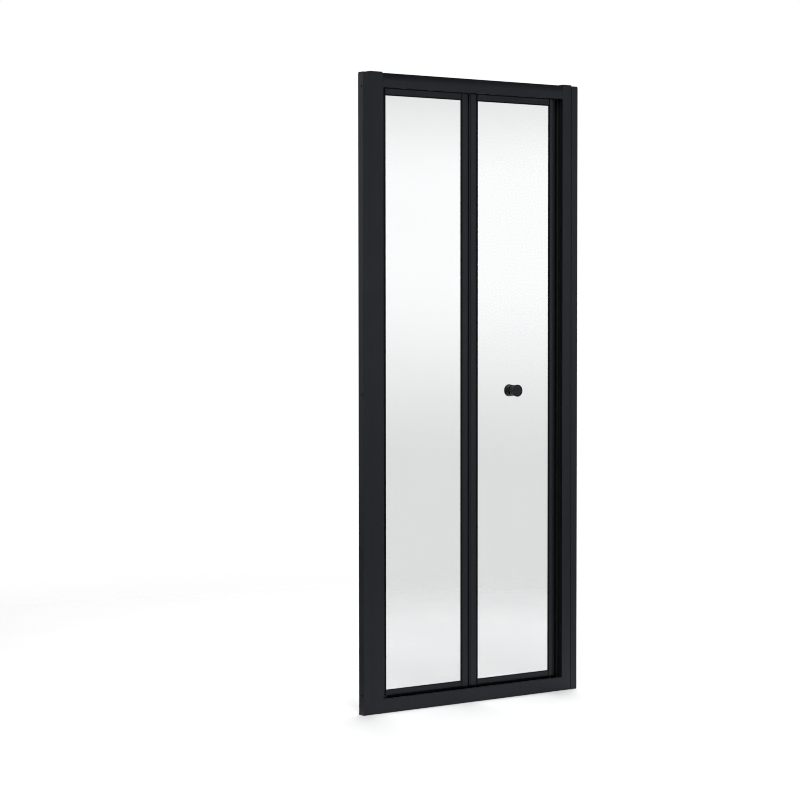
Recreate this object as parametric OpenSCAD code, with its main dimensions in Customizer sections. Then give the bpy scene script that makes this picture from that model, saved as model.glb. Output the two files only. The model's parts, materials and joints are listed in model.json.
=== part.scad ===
// Bifold shower door in a matt black aluminium frame.
// Two glazed leaves: the left one pivots at the left post, the right one is hinged to it
// and is guided at its free edge, so that the pair folds towards +Y (into the shower).
// Millimetres, +Z up. Origin: middle of the frame's width and depth, on the underside of the sill.
// Plan drawings below are made in a working frame with x = 0 at the left wall face and
// y = 0 at the frame's front, and place() moves them to the origin.

/* [Frame] */
// Overall width between the walls
frame_w = 800; // [780:5:860]
// Height of the header's top edge above the tray
frame_h = 1840; // [1780:10:1900]
// Depth of the frame, front to back
frame_d = 46; // [46:1:50]
// Height of the header's face
header_h = 41; // [40:1:44]
// Height of the sill's front wall
sill_h = 42; // [41:1:43]

/* [Posts] */
// Width of each wall channel's front flange
channel_w = 24; // [24:1:28]
// Depth of each wall channel
channel_d = 24; // [24:1:26]
// Width of the pivot side jamb's face
jamb_l_w = 46; // [44:1:50]
// Width of the closing side jamb's face
jamb_r_w = 35; // [34:1:40]
// Wall thickness of the frame profiles
wall = 1.8; // [1.6:0.1:2]
// Radius of the wall screws' holes in the channels
wall_hole_r = 2.75; // [2.5:0.25:3]

/* [Leaves] */
// Distance of the leaves' front faces behind the frame's front
leaf_front = 24; // [24:0.5:25]
// Thickness of the stiles
leaf_t = 15; // [15:0.5:16]
// Face width of the pivot stile
pivot_stile_w = 16.5; // [16.5:0.5:18]
// Face width of the other three stiles
stile_w = 23; // [22:0.5:24]
// Face height of the top rails
top_rail_h = 21; // [20:1:24]
// Face height of the bottom rails
bottom_rail_h = 15; // [14:1:16]
// Thickness of the glass
glass_t = 5; // [5:1:5]
// Gap between the two leaves
centre_gap = 7; // [7:0.5:8]

/* [Knob] */
// Radius of the knob's end flange
knob_r = 18.2; // [16:0.2:19]
// Radius of the knob's neck
knob_neck_r = 16.9; // [13:0.1:17]
// Length of each half of the knob
knob_l = 20; // [18:1:22]

/* [Hinge] */
// Number of knuckles along the centre hinge
knuckles = 9; // [7:2:13]
// Radius of the centre hinge's barrel
barrel_r = 2.9; // [2.7:0.1:3]

/* [Hidden] */
$fn = 48;

// colours
c_frame = [0.16, 0.165, 0.17];
c_cap = [0.13, 0.13, 0.135];
c_rubber = [0.05, 0.05, 0.05];
c_nylon = [0.10, 0.10, 0.10];
c_steel = [0.72, 0.73, 0.75];
c_blackscrew = [0.09, 0.09, 0.09];
c_glass = [0.85, 0.93, 0.92, 0.3];

// frame opening between the jambs
xi0 = channel_w + jamb_l_w;
xi1 = frame_w - channel_w - jamb_r_w;
// vertical axes in plan: leaf pivot P, centre hinge C, guide S
px = xi0 + 13;
sx = xi1 - 20;
hx = (px + sx) / 2;
py = leaf_front + leaf_t / 2;
hy = leaf_front + 0.5;
// leaf edges
a0 = px - 8;
a1 = hx - centre_gap / 2;
b0 = hx + centre_gap / 2;
b1 = sx + 13;
lf = leaf_front;
lb = leaf_front + leaf_t;
// levels of the leaves
top_z = frame_h - header_h + 4;
bot_z = sill_h + 3.5;
cap_t = 1.5;
stile_z0 = bot_z + cap_t;
stile_z1 = top_z - cap_t;
tr_z0 = top_z - top_rail_h;
br_z1 = bot_z + bottom_rail_h;
// lower ends of the seals that close the gap over the sill
seal_z0 = sill_h - 3.5;
// glazing, set near the front: reach of the gasket's front lip beyond the stile's face, pocket depth in the
// stile, gap between a stile and the rails, the pocket's front and back, the glass's front and back
lip = 6.3;
pocket = 3.2;
rail_gap = 4;
pk0 = lf + 1.2;
pk1 = lf + 8;
gy0 = lf + 1.8;
gy1 = gy0 + glass_t;
// front and back of the corner blocks' tongues, level of the hinge screws in the stiles' thickness
ty0 = lf + 3;
ty1 = lf + 9;
hs_y = (hy + lb + 1.2) / 2;
g_top = tr_z0 + 2.3;
g_bot = br_z1 - 2.3;
slot_top = tr_z0 + 2.5;
slot_bot = br_z1 - 2.5;
// post heights
channel_h = frame_h - 4;
jamb_h = frame_h - 2;
// track levels
ht_z0 = frame_h - 20;
ht_z1 = frame_h - 2;
st_z0 = 2.5;
st_z1 = 20.5;
track_x0 = px + 28;
track_x1 = xi1 - 1;
// knob centre
kx = (b0 + b1) / 2 + 1.4;
kz = frame_h / 2 + 0.4;
// hinge levels
hg_z0 = bot_z + 4;
hg_z1 = top_z - 4;
hg_step = (hg_z1 - hg_z0) / knuckles;
// radius of the pivot and guide pins
pin_r = 3;
// guide carriage: roller radius and the rollers' distances behind the guide pin
roller_r = 7.2;
roller_d = [14.5, 30];
// heights of the wall screws' holes
wall_hole_z = [57, 921, 1799];
wall_hole_y = 6.5;

module place() { translate([-frame_w / 2, -frame_d / 2, 0]) children(); }

// rectangle from (x0, y0) to (x1, y1) with a radius on each corner, counted from (x0, y0) round by (x1, y0)
module rr(x0, y0, x1, y1, r1 = 0, r2 = 0, r3 = 0, r4 = 0) {
  difference() {
    translate([x0, y0]) square([x1 - x0, y1 - y0]);
    if (r1 > 0) translate([x0, y0]) corner(r1);
    if (r2 > 0) translate([x1, y0]) mirror([1, 0]) corner(r2);
    if (r3 > 0) translate([x1, y1]) mirror([1, 0]) mirror([0, 1]) corner(r3);
    if (r4 > 0) translate([x0, y1]) mirror([0, 1]) corner(r4);
  }
}
module corner(r) {
  difference() {
    translate([-0.01, -0.01]) square([r + 0.01, r + 0.01]);
    translate([r, r]) circle(r = r);
  }
}
// plan outline raised between two levels
module ez(z0, z1) { translate([0, 0, z0]) linear_extrude(height = z1 - z0) children(); }
// section in (y, z) drawn along X between two stations
module ex(x0, x1) { translate([x0, 0, 0]) rotate([90, 0, 90]) linear_extrude(height = x1 - x0) children(); }
// block between two corners
module bx(x0, x1, y0, y1, z0, z1) { translate([x0, y0, z0]) cube([x1 - x0, y1 - y0, z1 - z0]); }
// cylinders along an axis, from a point
module cz(x, y, z0, z1, r) { translate([x, y, z0]) cylinder(h = z1 - z0, r = r); }
module cx(x0, x1, y, z, r) { translate([x0, y, z]) rotate([0, 90, 0]) cylinder(h = x1 - x0, r = r); }
module cy(x, y0, y1, z, r) { translate([x, y0, z]) rotate([-90, 0, 0]) cylinder(h = y1 - y0, r = r); }

// pan head screw: head on the plane z = 0 upwards, shank downwards, crossed recess
module pan_screw(r, l, hr, hh) {
  color(c_blackscrew) difference() {
    union() {
      translate([0, 0, -l]) cylinder(h = l, r = r);
      rotate_extrude() polygon([[0, 0], [hr, 0], [hr, hh * 0.45], [hr * 0.86, hh * 0.8], [hr * 0.55, hh], [0, hh]]);
    }
    for (a = [0, 90]) rotate([0, 0, a]) translate([-hr * 0.5, -hr * 0.1, hh * 0.45]) cube([hr, hr * 0.2, hh]);
  }
}
// countersunk screw: head flush with z = 0, shank downwards, crossed recess
module csk_screw(r, l, hr) {
  color(c_blackscrew) difference() {
    rotate_extrude() polygon([[0, 0], [hr, 0], [hr, -0.25], [r, -0.25 - (hr - r)], [r, -l], [0, -l]]);
    for (a = [0, 90]) rotate([0, 0, a]) translate([-hr * 0.55, -hr * 0.1, -hr * 0.4]) cube([hr * 1.1, hr * 0.2, hr]);
  }
}
// hole that the countersunk screw sits in, with running clearance
module csk_hole(r, l, hr) {
  rotate_extrude() polygon([[0, 0.5], [hr + 0.05, 0.5], [hr + 0.05, -0.3], [r + 0.05, -0.3 - (hr - r)], [r + 0.05, -l - 0.2], [0, -l - 0.2]]);
}

// ---------- posts ----------
module channel_2d() {
  difference() {
    rr(0, 0, channel_w - 0.4, channel_d, 0.6, 0.6, 0.6, 0.4);
    rr(wall, wall, channel_w, channel_d - wall, 1, 0, 0, 0.5);
  }
}
// shallow crown that draws a jamb's face back towards the wall channel
module crown(x, w, r) {
  difference() {
    translate([x - 1, -1]) square([w + 1, w * w / (2 * r) + 2]);
    translate([x + w, r]) circle(r = r);
  }
}
module channel_solid() {
  difference() {
    ez(0, channel_h) channel_2d();
    for (z = wall_hole_z) cx(-1, wall + 1, wall_hole_y, z, wall_hole_r);
    for (z = fix_z()) cy(channel_w / 2 + 1, channel_d - wall - 1, channel_d + 1, z, 2.05);
  }
}
function fix_z() = [frame_h * 0.16, frame_h * 0.5, frame_h * 0.84];
module jamb_2d(w, g0, g1) {
  difference() {
    union() {
      difference() {
        rr(channel_w, 0, channel_w + w, frame_d, 0.5, 0.6, 1.5, 2);
        crown(channel_w, 20, 200);
      }
      rr(9, wall + 0.5, channel_w + 2, channel_d - wall - 0.5, 1, 0, 0, 1);
    }
    rr(channel_w + wall, wall + 1, channel_w + w - wall, frame_d - wall, 1.5, 0.5, 0.5, 1);
    rr(9 + wall, 2 * wall + 0.5, channel_w - 0.2, channel_d - 2 * wall - 0.5, 0.5, 0, 0, 0.5);
    // groove for the seal in the inner face
    translate([channel_w + w - 0.6, g0]) square([1, g1 - g0]);
  }
}
module jamb_solid(w, g0, g1) {
  difference() {
    ez(0, jamb_h) jamb_2d(w, g0, g1);
    // screws that lock the tongue in the channel
    for (z = fix_z()) cy(channel_w / 2 + 1, channel_d - 2 * wall - 2, channel_d, z, 1.85);
    // holes of the frame's corner screws, with access holes through the tongue
    for (p = corner_ports()) {
      cx(channel_w + w - wall - 1, channel_w + w + 1, p[0], p[1], 2.05);
      cx(8, channel_w + wall + 1, p[0], p[1], 4.5);
    }
    // the tongue stops under the channel's cap
    bx(8, channel_w, 0.5, frame_d, channel_h - 0.1, jamb_h + 1);
  }
}
function corner_ports() = [[8, frame_h - 5.7], [8, frame_h - header_h + 4.9], [6.6, sill_h - 9], [6.6, 9]];
module wall_channel_left() { color(c_frame) place() channel_solid(); }
module wall_channel_right() { color(c_frame) place() translate([frame_w, 0, 0]) mirror([1, 0, 0]) channel_solid(); }
module jamb_left() { color(c_frame) place() jamb_solid(jamb_l_w, lf - 3, lf + 5.8); }
module jamb_right() { color(c_frame) place() translate([frame_w, 0, 0]) mirror([1, 0, 0]) jamb_solid(jamb_r_w, lf - 11.5, lf + 11.5); }

// ---------- header and sill ----------
module port(y, z, r) { translate([y, z]) circle(r = r); }
// the upper half of the header's face leans back in a shallow curve; y = where the face starts
module header_crown(y) {
  difference() {
    translate([y - 5, frame_h - 20]) square([7, 21]);
    translate([y + 120, frame_h - 20]) circle(r = 120);
  }
}
module header_2d() {
  z0 = frame_h - header_h;
  difference() {
    union() {
      difference() {
        rr(0, z0, 16, frame_h, 1.2, 1, 0, 0);
        header_crown(0);
        difference() {
          rr(wall, z0 + wall, 16 - wall, frame_h - wall, 0.6, 0.4, 0.4, 0.6);
          header_crown(wall);
        }
      }
      translate([15, frame_h - 2]) square([frame_d - 15.2, 2]);
      rr(frame_d - 2, top_z + 3, frame_d, frame_h, 0.5, 0.8, 1, 0);
      intersection() {
        union() {
          port(corner_ports()[0][0], corner_ports()[0][1], 3.7);
          port(corner_ports()[1][0], corner_ports()[1][1], 3.7);
        }
        translate([0.5, z0 + 0.5]) square([15, header_h - 1]);
      }
    }
    port(corner_ports()[0][0], corner_ports()[0][1], 1.85);
    port(corner_ports()[1][0], corner_ports()[1][1], 1.85);
  }
}
module header_rail() {
  color(c_frame) place() difference() {
    ex(xi0, xi1) header_2d();
    for (x = header_screw_x()) cz(x, py, frame_h - 3, frame_h - 0.2, 1.85);
    for (x = bracket_screw_x()) for (y = [py - 7, py + 5]) cz(x, y, frame_h - 3, frame_h - 0.8, 1.85);
  }
}
function header_screw_x() = [track_x0 + 30, hx, track_x1 - 60];
function bracket_screw_x() = [px + 15];
module sill_2d() {
  difference() {
    union() {
      rr(0, 0, 4, sill_h, 0.8, 0, 1.6, 2);
      square([frame_d - 0.2, 2.5]);
      rr(frame_d - 2, 0, frame_d, bot_z - 9.5, 0, 0.8, 0.9, 0.6);
      port(corner_ports()[2][0], corner_ports()[2][1], 3.4);
      port(corner_ports()[3][0], corner_ports()[3][1], 3.4);
    }
    port(corner_ports()[2][0], corner_ports()[2][1], 1.85);
    port(corner_ports()[3][0], corner_ports()[3][1], 1.85);
  }
}
module sill_rail() {
  color(c_frame) place() difference() {
    ex(xi0, xi1) sill_2d();
    for (x = header_screw_x()) cz(x, py, 0.6, 3, 1.85);
    for (x = bracket_screw_x()) for (y = [py - 7, py + 5]) cz(x, y, 0.6, 3, 1.85);
    // weep slots through the rear wall
    for (i = [0:4]) bx(xi0 + 60 + i * 130, xi0 + 90 + i * 130, frame_d - 3, frame_d + 1, 4.5, 8.5);
  }
}
module cap_shape(x0, x1, d, z0, z1) {
  ez(z0, z1 - 0.8) rr(x0, 0.3, x1, d - 0.3, 1.4, 1.4, 1.4, 1.4);
  ez(z1 - 0.8, z1) rr(x0 + 0.6, 0.9, x1 - 0.6, d - 0.9, 1, 1, 1, 1);
}
module channel_cap() {
  cap_shape(0.3, channel_w - 0.7, channel_d, channel_h, channel_h + 3.8);
  // plug between the channel's web and the tongue
  bx(wall + 0.5, 8.6, wall + 0.6, channel_d - wall - 0.6, channel_h - 8, channel_h);
}
module jamb_cap(w) {
  cap_shape(channel_w + 0.3, channel_w + w - 0.3, frame_d, jamb_h, jamb_h + 4.8);
  bx(channel_w + wall + 0.4, channel_w + w - wall - 0.8, wall + 12, frame_d - wall - 0.6, jamb_h - 10, jamb_h);
}
module channel_caps() {
  color(c_cap) place() { channel_cap(); translate([frame_w, 0, 0]) mirror([1, 0, 0]) channel_cap(); }
}
module jamb_caps() {
  color(c_cap) place() { jamb_cap(jamb_l_w); translate([frame_w, 0, 0]) mirror([1, 0, 0]) jamb_cap(jamb_r_w); }
}

// ---------- tracks ----------
module track_2d() {
  difference() {
    translate([py - 9, 0]) square([18, 18]);
    translate([py - 7.5, 1.5]) square([15, 15]);
    translate([py - 4.5, -1]) square([9, 5]);
  }
}
module header_track() {
  color(c_frame) place() difference() {
    ex(track_x0, track_x1) translate([0, ht_z0]) track_2d();
    for (x = header_screw_x()) translate([x, py, ht_z1 - 1.5]) mirror([0, 0, 1]) csk_hole(1.8, 5, 3.2);
  }
}
module sill_track() {
  color(c_frame) place() difference() {
    ex(track_x0, track_x1) translate([0, st_z1]) mirror([0, 1]) track_2d();
    for (x = header_screw_x()) translate([x, py, st_z0 + 1.5]) csk_hole(1.8, 5, 3.2);
  }
}
module track_screws() {
  place() for (x = header_screw_x()) {
    translate([x, py, ht_z1 - 1.5]) mirror([0, 0, 1]) csk_screw(1.8, 3.2, 3.1);
    translate([x, py, st_z0 + 1.5]) csk_screw(1.8, 3.2, 3.1);
  }
}
module track_end_stops() {
  color(c_rubber) place() {
    for (x = [track_x0 + 0.5, track_x1 - 6.5]) {
      bx(x, x + 6, py - 7.5, py + 7.5, ht_z0 + 1.5, ht_z1 - 1.5);
      bx(x, x + 6, py - 7.5, py + 7.5, st_z0 + 1.5, st_z1 - 1.5);
    }
  }
}

// ---------- pivots ----------
module bracket(z0, z1, open_top) {
  difference() {
    ez(z0, z1) rr(xi0 + 0.8, 17, px + 24, frame_d - 2.2, 1, 3, 3, 1);
    // bush seat
    if (open_top) { cz(px, py, z0 + 4, z1 + 1, 5.55); cz(px, py, z1 - 1.6, z1 + 1, 8.1); }
    else { cz(px, py, z0 - 1, z1 - 4, 5.55); cz(px, py, z0 - 1, z0 + 1.6, 8.1); }
  }
}
module top_pivot_bracket() {
  color(c_nylon) place() difference() {
    bracket(top_z + 3, frame_h - 2, false);
    for (x = bracket_screw_x()) for (y = [py - 7, py + 5])
      { cz(x, y, top_z, frame_h, 1.85); cz(x, y, top_z, frame_h - 16, 3.6); }
  }
}
module bottom_pivot_bracket() {
  color(c_nylon) place() difference() {
    union() {
      bracket(2.5, bot_z - 11, true);
      // apron that closes the gap under the pivot stile
      bx(xi0 + 0.8, px + 9, 17, 18.8, bot_z - 12, bot_z + 1.5);
    }
    for (x = bracket_screw_x()) for (y = [py - 7, py + 5])
      { cz(x, y, 0, bot_z, 1.85); cz(x, y, 16, bot_z, 3.6); }
  }
}
module bush() {
  difference() {
    union() { cylinder(h = 16, r = 5.5); translate([0, 0, 14.5]) cylinder(h = 1.5, r = 8); }
    translate([0, 0, -1]) cylinder(h = 18, r = pin_r + 0.05);
  }
}
module pivot_bushes() {
  color(c_nylon) place() {
    translate([px, py, bot_z - 11 - 16]) bush();
    translate([px, py, top_z + 3 + 16]) mirror([0, 0, 1]) bush();
  }
}
module pivot_bracket_screws() {
  place() for (x = bracket_screw_x()) for (y = [py - 7, py + 5]) {
    translate([x, y, 16]) pan_screw(1.8, 15, 3.4, 2.4);
    translate([x, y, frame_h - 16]) mirror([0, 0, 1]) pan_screw(1.8, 15, 3.4, 2.4);
  }
}
module frame_corner_screws() {
  place() for (p = corner_ports()) {
    translate([xi0 - wall, p[0], p[1]]) rotate([0, -90, 0]) pan_screw(1.8, 18, 3.4, 2.4);
    translate([xi1 + wall, p[0], p[1]]) rotate([0, 90, 0]) pan_screw(1.8, 18, 3.4, 2.4);
  }
}
module jamb_fixing_screws() {
  place() for (z = fix_z()) for (x = [channel_w / 2 + 1, frame_w - channel_w / 2 - 1])
    translate([x, channel_d, z]) rotate([-90, 0, 0]) pan_screw(1.8, 4, 3.4, 2.2);
}
module screw_covers() {
  color(c_cap) place() for (z = fix_z()) for (x = [channel_w / 2 + 1, frame_w - channel_w / 2 - 1])
    translate([x, channel_d, z]) rotate([-90, 0, 0]) difference() {
      rotate_extrude() polygon([[0, 0], [5.4, 0], [5.4, 2], [4.6, 3], [0, 3.3]]);
      translate([0, 0, -1]) cylinder(h = 3.3, r = 3.6);
    }
}
module pivot_jamb_seal() {
  color(c_rubber) place() ez(stile_z0, frame_h - header_h - 0.3)
    polygon([[xi0 - 0.6, lf - 3], [xi0, lf - 3], [xi0 + 1, lf - 2.5], [xi0 + 3.2, lf + 0.5], [xi0 + 3, lf + 1.1],
      [xi0 + 1, lf + 2.5], [xi0 + 1, lf + 5.6], [xi0, lf + 5.8], [xi0 - 0.6, lf + 5.8]]);
}
// flat pad in the jamb's reveal and the magnetic rib that the closing edge meets
module closing_jamb_seal() {
  color(c_rubber) place() {
    ez(seal_z0, frame_h - header_h - 0.3) rr(xi1 - 0.4, lf - 11.5, xi1 + 0.6, lf - 2, 0.3, 0, 0, 0.3);
    ez(seal_z0, stile_z1) rr(xi1 - 2.6, lf - 2.5, xi1 + 0.6, lf + 11.5, 2.2, 0, 0, 0.5);
  }
}

// ---------- leaf profiles ----------
// stile in plan: s = 0 at its free edge, growing towards the glass
module stile_2d(w) {
  difference() {
    rr(0, lf, w, lb, 4, 0, 5, 4);
    // bevel beside the glass
    polygon([[w - 3, lf - 1], [w + 1, lf - 1], [w + 1, lf + 1.07], [w - 3, lf]]);
    translate([w - pocket, pk0]) square([pocket + 0.01, pk1 - pk0]);
    rr(1.6, lf + 1.6, w - pocket - 1.6, lb - 1.6, 2.5, 0.5, 0.5, 2.5);
  }
}
module stile_solid(w) {
  difference() {
    ez(stile_z0, stile_z1) stile_2d(w);
    // notches that the corner blocks pass through
    bx(w - pocket - 3, w + 1, ty0, ty1, tr_z0 + 5.8, stile_z1 + 1);
    bx(w - pocket - 3, w + 1, ty0, ty1, stile_z0 - 1, br_z1 - 5.6);
    // screws of the corner blocks, from behind
    for (z = block_screw_z()) translate([(w - pocket) / 2, lb, z]) rotate([-90, 0, 0]) csk_hole(1.6, 4.4, 2.9);
  }
}
function block_screw_z() = [tr_z0 + 4, br_z1 + 2];
// gasket beside a stile: the part in the pocket runs on past the rails' ends, the lips only along the glass
module gasket_side(w) {
  difference() {
    union() {
      ez(stile_z0, stile_z1) {
        translate([w - pocket, pk0]) square([pocket + 0.2, pk1 - pk0]);
        rr(w + 0.1, lf + 0.6, w + rail_gap - 0.2, pk1 + 0.8, 0.4, 0.4, 0.4, 0);
      }
      ez(br_z1, tr_z0) polygon([[w + 0.1, gy0], [w + 0.1, lf + 0.35], [w + lip - 1, lf + 0.8],
        [w + lip - 0.4, lf + 1.05], [w + lip, lf + 1.45], [w + lip, gy0]]);
    }
    ez(slot_bot, slot_top) translate([w - 2, gy0]) square([20, glass_t]);
    ez(br_z1, tr_z0) translate([w + 1.2, gy1]) square([20, 10]);
    bx(w - pocket - 1, w + rail_gap, ty0, ty1, tr_z0 + 5.8, stile_z1 + 1);
    bx(w - pocket - 1, w + rail_gap, ty0, ty1, stile_z0 - 1, br_z1 - 5.6);
  }
}
// gasket along a rail, in (y, z) with z = 0 at the rail's edge and growing into the rail; reach = the lip's height
module gasket_rail_2d(reach) {
  difference() {
    union() {
      translate([pk0, -0.1]) square([pk1 - pk0, 4.2]);
      polygon([[lf + 0.45, -0.1], [lf + 0.8, 1 - reach], [lf + 1.05, 0.4 - reach], [lf + 1.45, -reach], [gy0 + 0.1, -reach],
        [gy0 + 0.1, 0], [gy0 + 0.1, 0.5], [pk0, 0.5], [pk0, -0.1]]);
      translate([gy1 - 0.1, -1.2]) square([pk1 + 0.8 - gy1, 1.2]);
    }
    translate([gy0, -20]) square([glass_t, 22.5]);
  }
}
module gasket_ring(x0, w0, x1, w1) {
  difference() {
    union() {
      translate([x0, 0, 0]) gasket_side(w0);
      translate([x1, 0, 0]) mirror([1, 0, 0]) gasket_side(w1);
      translate([0, 0, tr_z0]) ex(x0 + w0 + rail_gap - 0.3, x1 - w1 - rail_gap + 0.3) gasket_rail_2d(3.5);
      translate([0, 0, br_z1]) ex(x0 + w0 + rail_gap - 0.3, x1 - w1 - rail_gap + 0.3) mirror([0, 1]) gasket_rail_2d(2.5);
    }
    bx(x0 + w0 - 2, x1 - w1 + 2, gy0, gy1, slot_bot, slot_top);
  }
}
module top_rail(x0, x1) {
  difference() {
    ex(x0, x1) difference() {
      rr(lf + 0.2, tr_z0, lb - 1, top_z, 0.5, 2, 1.2, 1.2);
      translate([pk0, tr_z0 - 1]) square([pk1 - pk0, 5.2]);
      rr(lf + 2.6, tr_z0 + 5.8, lb - 2.6, top_z - 1.6, 0.4, 0.4, 0.4, 0.4);
    }
    for (x = [x0 + 18, x1 - 18]) translate([x, lb - 1, tr_z0 + 12.5]) rotate([-90, 0, 0]) csk_hole(1.6, 9, 2.9);
  }
}
module bottom_rail(x0, x1) {
  difference() {
    ex(x0, x1) difference() {
      rr(lf + 0.2, bot_z, lb - 1, br_z1, 1, 1, 2, 0.5);
      translate([pk0, br_z1 - 4.2]) square([pk1 - pk0, 6]);
      rr(lf + 2.6, bot_z + 1.6, lb - 2.6, br_z1 - 5.8, 0.4, 0.4, 0.4, 0.4);
    }
    for (x = [x0 + 18, x1 - 18]) translate([x, lb - 1, bot_z + 4.9]) rotate([-90, 0, 0]) csk_hole(1.6, 9, 2.9);
  }
}
// corner block at the top: plug in the stile, tongue in the rail, cover on the stile's end
module corner_block_top(w, pin_s, pin_r) {
  difference() {
    union() {
      ez(tr_z0 - 4, stile_z1) rr(1.8, lf + 1.8, w - pocket - 1.8, lb - 1.8, 2.3, 0.4, 0.4, 2.3);
      ez(stile_z1, top_z) { rr(0, lf, w, lb, 4, 1, 5, 4); rr(w - 2, lf + 0.5, w + rail_gap - 0.2, pk1 + 1, 0, 0.5, 0.5, 0); }
      bx(w - pocket - 3, w + 36, ty0 + 0.1, ty1 - 0.1, tr_z0 + 6, top_z - 1.8);
      bx(w + rail_gap + 0.2, w + 36, lf + 2.8, lb - 2.8, tr_z0 + 6, top_z - 1.8);
    }
    if (pin_r > 0) cz(pin_s, py, tr_z0 + 3, top_z + 1, pin_r + 0.02);
    translate([(w - pocket) / 2, lb, tr_z0 + 4]) rotate([-90, 0, 0]) csk_hole(1.6, 4.4, 2.9);
    translate([w + rail_gap + 18, lb - 1, tr_z0 + 12.5]) rotate([-90, 0, 0]) csk_hole(1.6, 9, 2.9);
  }
}
module corner_block_bottom(w, pin_s, pin_r) {
  difference() {
    union() {
      ez(stile_z0, br_z1 + 12) rr(1.8, lf + 1.8, w - pocket - 1.8, lb - 1.8, 2.3, 0.4, 0.4, 2.3);
      ez(bot_z, stile_z0) { rr(0, lf, w, lb, 4, 1, 5, 4); rr(w - 2, lf + 0.5, w + rail_gap - 0.2, pk1 + 1, 0, 0.5, 0.5, 0); }
      bx(w - pocket - 3, w + 36, ty0 + 0.1, ty1 - 0.1, bot_z + 1.8, br_z1 - 6);
      bx(w + rail_gap + 0.2, w + 36, lf + 2.8, lb - 2.8, bot_z + 1.8, br_z1 - 6);
    }
    if (pin_r > 0) cz(pin_s, py, bot_z - 1, br_z1, pin_r + 0.02);
    translate([(w - pocket) / 2, lb, br_z1 + 2]) rotate([-90, 0, 0]) csk_hole(1.6, 4.4, 2.9);
    translate([w + rail_gap + 18, lb - 1, bot_z + 4.9]) rotate([-90, 0, 0]) csk_hole(1.6, 9, 2.9);
  }
}
module corner_screws(x, dir, w) {
  for (z = block_screw_z()) translate([x + dir * (w - pocket) / 2, lb, z]) rotate([-90, 0, 0]) csk_screw(1.6, 4.2, 2.85);
  translate([x + dir * (w + rail_gap + 18), lb - 1, tr_z0 + 12.5]) rotate([-90, 0, 0]) csk_screw(1.6, 8.8, 2.85);
  translate([x + dir * (w + rail_gap + 18), lb - 1, bot_z + 4.9]) rotate([-90, 0, 0]) csk_screw(1.6, 8.8, 2.85);
}
module glass(x0, x1) { bx(x0, x1, gy0, gy1, g_bot, g_top); }
module drip(x0, x1) {
  ex(x0, x1) polygon([[lf + 1.5, bot_z], [lf + 4.2, bot_z], [lf + 4.2, bot_z - 1.2], [lf + 3.6, bot_z - 1.8],
    [lf + 3, bot_z - 7.3], [lf + 2, bot_z - 7.5], [lf + 1.8, bot_z - 1.8]]);
}

// ---------- pivot leaf ----------
module pivot_stile() { color(c_frame) place() translate([a0, 0, 0]) stile_solid(pivot_stile_w); }
module pivot_leaf_centre_stile() {
  color(c_frame) place() difference() {
    translate([a1, 0, 0]) mirror([1, 0, 0]) stile_solid(stile_w);
    for (z = hinge_screw_z()) cx(a1 - 2, a1 + 1, hs_y, z, 1.45);
  }
}
module pivot_leaf_top_rail() { color(c_frame) place() top_rail(a0 + pivot_stile_w + rail_gap, a1 - stile_w - rail_gap); }
module pivot_leaf_bottom_rail() { color(c_frame) place() bottom_rail(a0 + pivot_stile_w + rail_gap, a1 - stile_w - rail_gap); }
module pivot_leaf_glass() { color(c_glass) place() glass(a0 + pivot_stile_w - 1.8, a1 - stile_w + 1.8); }
module pivot_leaf_gasket() { color(c_rubber) place() gasket_ring(a0, pivot_stile_w, a1, stile_w); }
module pivot_leaf_corner_blocks() {
  color(c_nylon) place() {
    translate([a0, 0, 0]) { corner_block_top(pivot_stile_w, 8, pin_r); corner_block_bottom(pivot_stile_w, 8, pin_r); }
    translate([a1, 0, 0]) mirror([1, 0, 0]) { corner_block_top(stile_w, 0, 0); corner_block_bottom(stile_w, 0, 0); }
  }
}
module pivot_leaf_corner_screws() { place() { corner_screws(a0, 1, pivot_stile_w); corner_screws(a1, -1, stile_w); } }
module pivot_pins() {
  color(c_steel) place() {
    // bottom pin with the collar that carries the leaf on the bush
    translate([px, py, 0]) rotate_extrude() polygon([[0, 12], [pin_r - 0.6, 12], [pin_r, 12.6], [pin_r, bot_z - 10.98],
      [6.5, bot_z - 10.98], [6.5, bot_z], [pin_r, bot_z], [pin_r, br_z1 - 1], [0, br_z1 - 1]]);
    translate([px, py, 0]) rotate_extrude() polygon([[0, tr_z0 + 4], [pin_r, tr_z0 + 4], [pin_r, top_z + 18.4],
      [pin_r - 0.6, top_z + 19], [0, top_z + 19]]);
  }
}
module pivot_leaf_drip_seal() { color(c_rubber) place() drip(px + 8, a1 - 0.5); }

// ---------- folding leaf ----------
module folding_leaf_centre_stile() {
  color(c_frame) place() difference() {
    translate([b0, 0, 0]) stile_solid(stile_w);
    for (z = hinge_screw_z()) cx(b0 - 1, b0 + 2, hs_y, z, 1.45);
  }
}
module closing_stile() { color(c_frame) place() translate([b1, 0, 0]) mirror([1, 0, 0]) stile_solid(stile_w); }
module folding_leaf_top_rail() { color(c_frame) place() top_rail(b0 + stile_w + rail_gap, b1 - stile_w - rail_gap); }
module folding_leaf_bottom_rail() { color(c_frame) place() bottom_rail(b0 + stile_w + rail_gap, b1 - stile_w - rail_gap); }
module folding_leaf_glass() {
  color(c_glass) place() difference() {
    glass(b0 + stile_w - 1.8, b1 - stile_w + 1.8);
    cy(kx, gy0 - 1, gy1 + 1, kz, 6);
  }
}
module folding_leaf_gasket() { color(c_rubber) place() gasket_ring(b0, stile_w, b1, stile_w); }
module folding_leaf_corner_blocks() {
  color(c_nylon) place() {
    translate([b0, 0, 0]) { corner_block_top(stile_w, 0, 0); corner_block_bottom(stile_w, 0, 0); }
    translate([b1, 0, 0]) mirror([1, 0, 0]) { corner_block_top(stile_w, 13, pin_r); corner_block_bottom(stile_w, 13, pin_r); }
  }
}
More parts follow.
